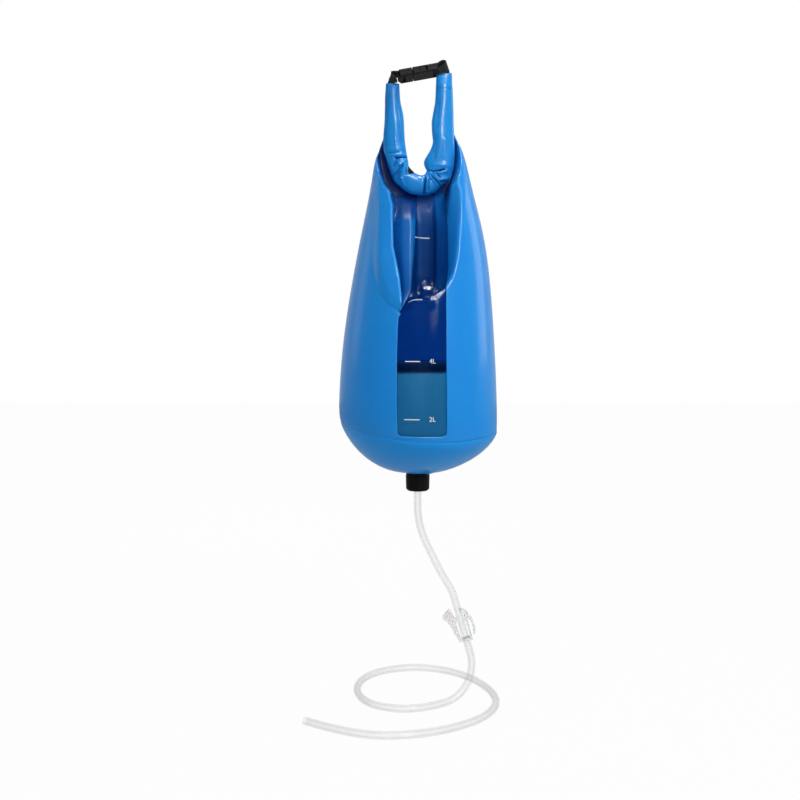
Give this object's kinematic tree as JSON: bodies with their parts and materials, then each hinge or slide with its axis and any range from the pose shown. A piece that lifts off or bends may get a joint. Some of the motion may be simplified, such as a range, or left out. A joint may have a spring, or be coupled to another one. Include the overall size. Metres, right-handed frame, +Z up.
{
  "type": "gravity water filter bag",
  "caption": "Roll-top water bag hung from its own closed buckle, with a filter cartridge standing on its outlet, a union nut and a clear hose with a pinch clamp.",
  "frame": {"origin": "the point on the flat underside of the buckle's socket where a hook or branch carries the closed loop", "axes": "+Z up, -Y to the front where the clear window is, +X to the side of the buckle's socket"},
  "size_m": [0.2433, 0.2342, 0.7969],
  "materials": {
    "blue_fabric": "glossy coated fabric",
    "black_plastic": "satin moulded",
    "black_rubber": "matte",
    "black_webbing": "woven",
    "clear_film": "clear film",
    "clear_hose": "clear and soft",
    "white_plastic": "translucent moulded",
    "grey_housing": "satin moulded",
    "white_fibre": "fibrous"
  },
  "bodies": {
    "bag": {"bag_bottom": "blue_fabric", "bag_wall": "blue_fabric", "window_panel": "clear_film", "mouth_roll": "blue_fabric", "mouth_stiffener": "black_plastic", "webbing_tab_right": "black_webbing", "buckle_socket": "black_plastic", "outlet_flange": "black_plastic", "outlet_gasket": "black_rubber", "lock_nut": "black_plastic", "outlet_washer": "black_rubber", "hose_tail": "black_plastic", "hose_upper": "clear_hose", "hose_in_clamp": "clear_hose", "hose_lower": "clear_hose"},
    "plug": {"buckle_plug": "black_plastic", "webbing_tab_left": "black_webbing", "mouth_roll_left_end": "blue_fabric"},
    "prong_front": {"buckle_prong_front": "black_plastic"},
    "prong_back": {"buckle_prong_back": "black_plastic"},
    "union_nut": {"union_nut": "black_plastic"},
    "cartridge": {"cartridge_base": "black_plastic", "cartridge_housing": "grey_housing", "cartridge_lid": "black_plastic", "cartridge_seal": "black_rubber", "prefilter_pad": "white_fibre", "fibre_bundle": "white_fibre"},
    "clamp": {"clamp_frame": "white_plastic"},
    "lever": {"clamp_lever": "white_plastic"}
  },
  "joints": [
    {"name": "buckle_pull", "type": "slide", "parent": "bag", "child": "plug", "axis": [-0.9848, 0, -0.1736], "range_m": [0, 0.024], "deforming": ["buckle_prong_front", "buckle_prong_back"]},
    {"name": "prong_front_squeeze", "type": "hinge", "parent": "plug", "child": "prong_front", "pos_m": [-0.00691, -0.0069, 0.00466], "axis": [-0.171, 0.1736, 0.9698], "range_deg": [0, 7], "stiffness_Nm_per_rad": 0.5},
    {"name": "prong_back_squeeze", "type": "hinge", "parent": "plug", "child": "prong_back", "pos_m": [-0.00644, 0.00846, 0.00199], "axis": [-0.171, 0.1736, 0.9698], "range_deg": [-7, 0], "stiffness_Nm_per_rad": 0.5},
    {"name": "cartridge_unscrew", "type": "hinge", "parent": "bag", "child": "cartridge", "pos_m": [0, 0, -0.41], "axis": [0, 0, 1], "range_deg": [0, 540]},
    {"name": "union_nut_turn", "type": "hinge", "parent": "bag", "child": "union_nut", "pos_m": [0, 0, -0.4962], "axis": [0, 0, -1], "range_deg": [0, 540]},
    {"name": "clamp_slide", "type": "slide", "parent": "bag", "child": "clamp", "axis": [-0.2756, 0, 0.9613], "range_m": [-0.008, 0.004]},
    {"name": "clamp_lever_press", "type": "hinge", "parent": "clamp", "child": "lever", "pos_m": [0.05458, 0, -0.69947], "axis": [0, 1, 0], "range_deg": [0, 14], "stiffness_Nm_per_rad": 0.3, "deforming": ["hose_in_clamp"]}
  ],
  "couplings": [
    {"joint": "prong_back_squeeze", "follows": "prong_front_squeeze", "ratio": -1}
  ]
}
